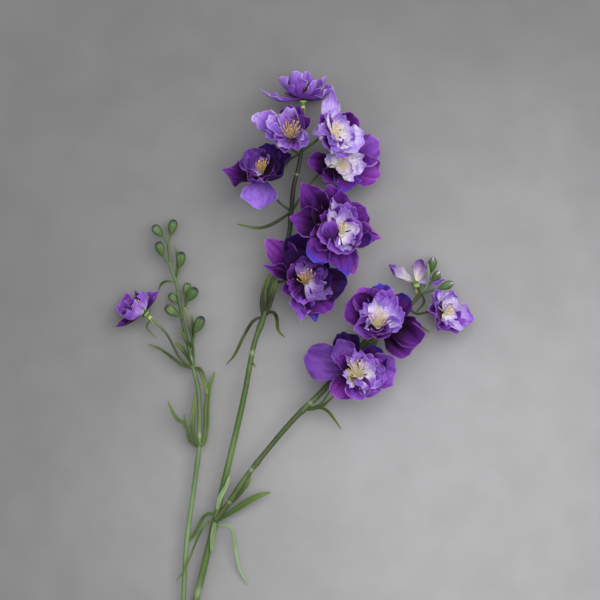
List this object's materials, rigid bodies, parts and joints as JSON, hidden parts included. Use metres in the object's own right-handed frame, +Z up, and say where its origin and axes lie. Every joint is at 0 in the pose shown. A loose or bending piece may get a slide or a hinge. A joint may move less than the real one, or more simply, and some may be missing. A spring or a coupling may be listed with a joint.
{
  "type": "artificial larkspur flower spray",
  "caption": "Branched artificial larkspur spray with layered violet blooms, green buds and strap leaves, lying on its side.",
  "frame": {"origin": "middle of the spray's box on the surface that it lies on", "axes": "+Y along the spray from the cut end of its stem to its tip, +Z up from the surface, so the blooms' faces look along +Z"},
  "size_m": [0.2917, 0.6226, 0.0632],
  "materials": {
    "petal_purple": "matte",
    "petal_lilac": "matte",
    "stamen_yellow": "matte",
    "stem_green": "satin"
  },
  "bodies": {
    "root": {"main_stem": "stem_green", "right_branch": "stem_green", "left_branch": "stem_green", "crown_outer_petals": "petal_purple", "crown_inner_petals": "petal_lilac", "crown_stamens": "stamen_yellow", "upper_left_outer_petals": "petal_purple", "upper_left_inner_petals": "petal_lilac", "upper_left_stamens": "stamen_yellow", "upper_right_outer_petals": "petal_purple", "upper_right_inner_petals": "petal_lilac", "upper_right_stamens": "stamen_yellow", "left_outer_petals": "petal_purple", "left_inner_petals": "petal_lilac", "left_stamens": "stamen_yellow", "right_outer_petals": "petal_purple", "right_inner_petals": "petal_lilac", "right_stamens": "stamen_yellow", "large_outer_petals": "petal_purple", "large_inner_petals": "petal_lilac", "large_stamens": "stamen_yellow", "lower_left_outer_petals": "petal_purple", "lower_left_inner_petals": "petal_lilac", "lower_left_stamens": "stamen_yellow", "branch_upper_outer_petals": "petal_purple", "branch_upper_inner_petals": "petal_lilac", "branch_upper_stamens": "stamen_yellow", "branch_lower_outer_petals": "petal_purple", "branch_lower_inner_petals": "petal_lilac", "branch_lower_stamens": "stamen_yellow", "branch_small_outer_petals": "petal_purple", "branch_small_inner_petals": "petal_lilac", "branch_small_stamens": "stamen_yellow", "bud_stem_outer_petals": "petal_purple", "bud_stem_inner_petals": "petal_lilac", "bud_stem_stamens": "stamen_yellow", "branch_opening_outer_petals": "petal_purple"}
  },
  "joints": []
}
